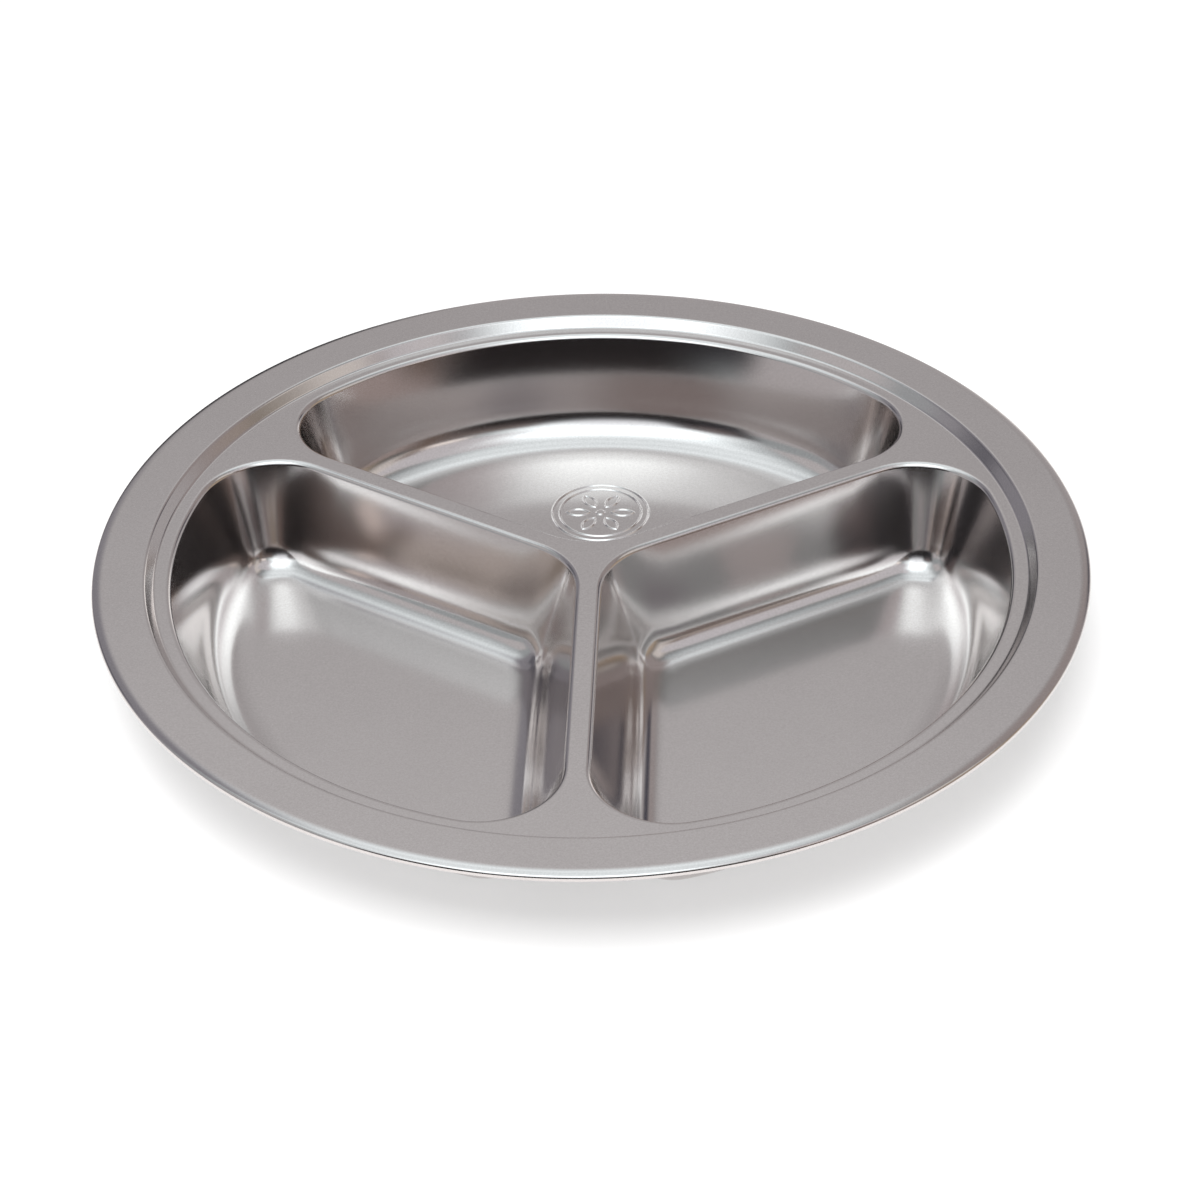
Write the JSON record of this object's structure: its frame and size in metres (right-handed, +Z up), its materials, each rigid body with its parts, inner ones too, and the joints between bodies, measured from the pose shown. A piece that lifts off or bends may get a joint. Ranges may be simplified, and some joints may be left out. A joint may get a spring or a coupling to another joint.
{
  "type": "divided compartment plate",
  "caption": "Round stainless steel dinner plate with a wide rim and deep compartments parted by a Y-shaped divider, pressed from one sheet with a rolled edge.",
  "frame": {"origin": "on the plate's axis, at the level that the plate stands on", "axes": "+Z up out of the compartments, -Y along the divider's front leg, +X to the right seen from the front"},
  "size_m": [0.24, 0.24, 0.0303],
  "materials": {
    "satin_steel": "satin, pressed and rolled, fine grain"
  },
  "bodies": {
    "root": {"rolled_edge": "satin_steel", "rim_flange": "satin_steel", "rim_step": "satin_steel", "ledge_and_divider": "satin_steel", "back_well_wall": "satin_steel", "left_well_wall": "satin_steel", "right_well_wall": "satin_steel", "back_well_floor": "satin_steel", "left_well_floor": "satin_steel", "right_well_floor": "satin_steel", "floor_rosette": "satin_steel"}
  },
  "joints": []
}
